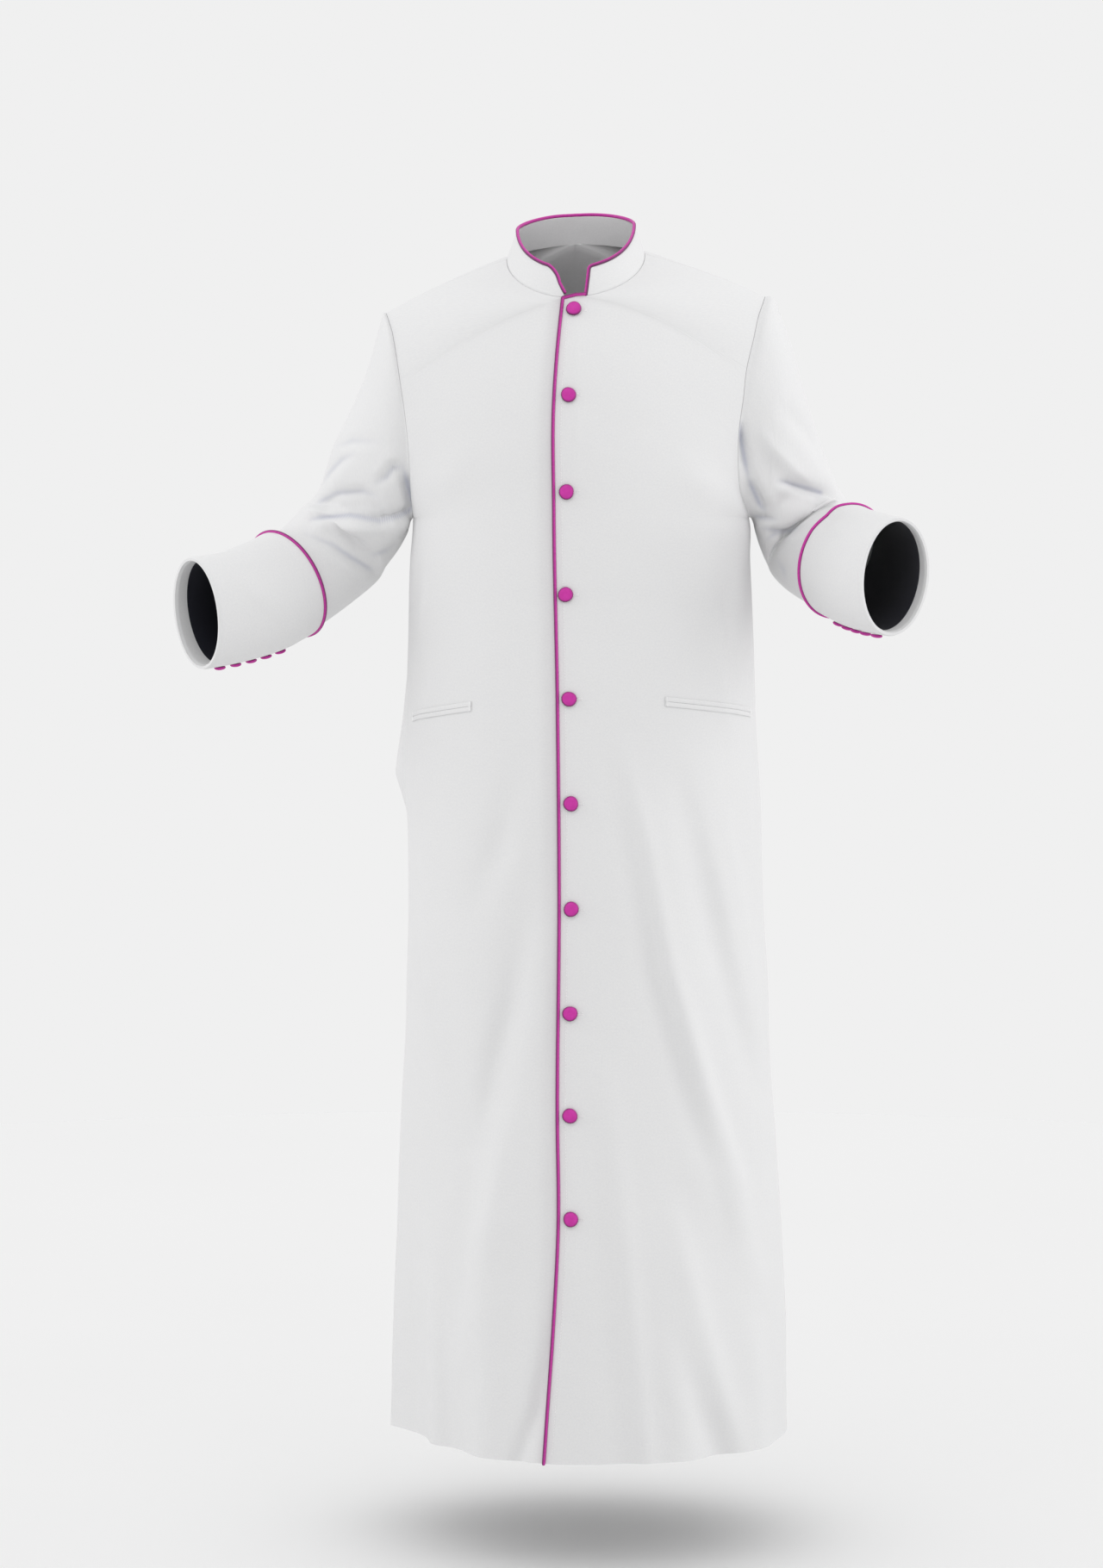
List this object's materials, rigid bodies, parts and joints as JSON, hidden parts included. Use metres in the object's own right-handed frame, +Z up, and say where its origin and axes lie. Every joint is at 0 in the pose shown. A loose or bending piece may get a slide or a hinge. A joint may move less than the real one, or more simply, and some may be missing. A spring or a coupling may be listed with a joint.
{
  "type": "clergy robe",
  "caption": "Long white clergy robe open at neck, cuffs and hem, with a standing collar, magenta piping, covered buttons down the front and turned-back cuffs.",
  "frame": {"origin": "the middle of the neck opening, level with the neck seam at the shoulders, where the wearer holds the robe up", "axes": "+Z up along the robe's length, +X towards the wearer's left, +Y towards the wearer's back"},
  "size_m": [0.8713, 0.3982, 1.4477],
  "materials": {
    "robe_cloth": "matte woven cloth",
    "satin_piping": "satin cord",
    "covered_button": "satin-covered button",
    "dark_lining": "matte lining"
  },
  "bodies": {
    "root": {"front_left": "robe_cloth", "front_right": "robe_cloth", "back": "robe_cloth", "sleeve_left_front": "robe_cloth", "sleeve_left_back": "robe_cloth", "sleeve_right_front": "robe_cloth", "sleeve_right_back": "robe_cloth", "cuff_left": "robe_cloth", "cuff_right": "robe_cloth", "collar": "robe_cloth", "pocket_left_upper_welt": "robe_cloth", "pocket_left_lower_welt": "robe_cloth", "cuff_lining_left": "dark_lining", "cuff_piping_left": "satin_piping", "cuff_button_left_1": "covered_button", "cuff_button_left_2": "covered_button", "cuff_button_left_3": "covered_button", "cuff_button_left_4": "covered_button", "cuff_button_left_5": "covered_button", "pocket_right_upper_welt": "robe_cloth", "pocket_right_lower_welt": "robe_cloth", "cuff_lining_right": "dark_lining", "cuff_piping_right": "satin_piping", "cuff_button_right_1": "covered_button", "cuff_button_right_2": "covered_button", "cuff_button_right_3": "covered_button", "cuff_button_right_4": "covered_button", "cuff_button_right_5": "covered_button", "front_piping": "satin_piping", "collar_piping": "satin_piping", "front_button_01": "covered_button", "front_button_02": "covered_button", "front_button_03": "covered_button", "front_button_04": "covered_button", "front_button_05": "covered_button", "front_button_06": "covered_button", "front_button_07": "covered_button", "front_button_08": "covered_button", "front_button_09": "covered_button", "front_button_10": "covered_button"}
  },
  "joints": []
}
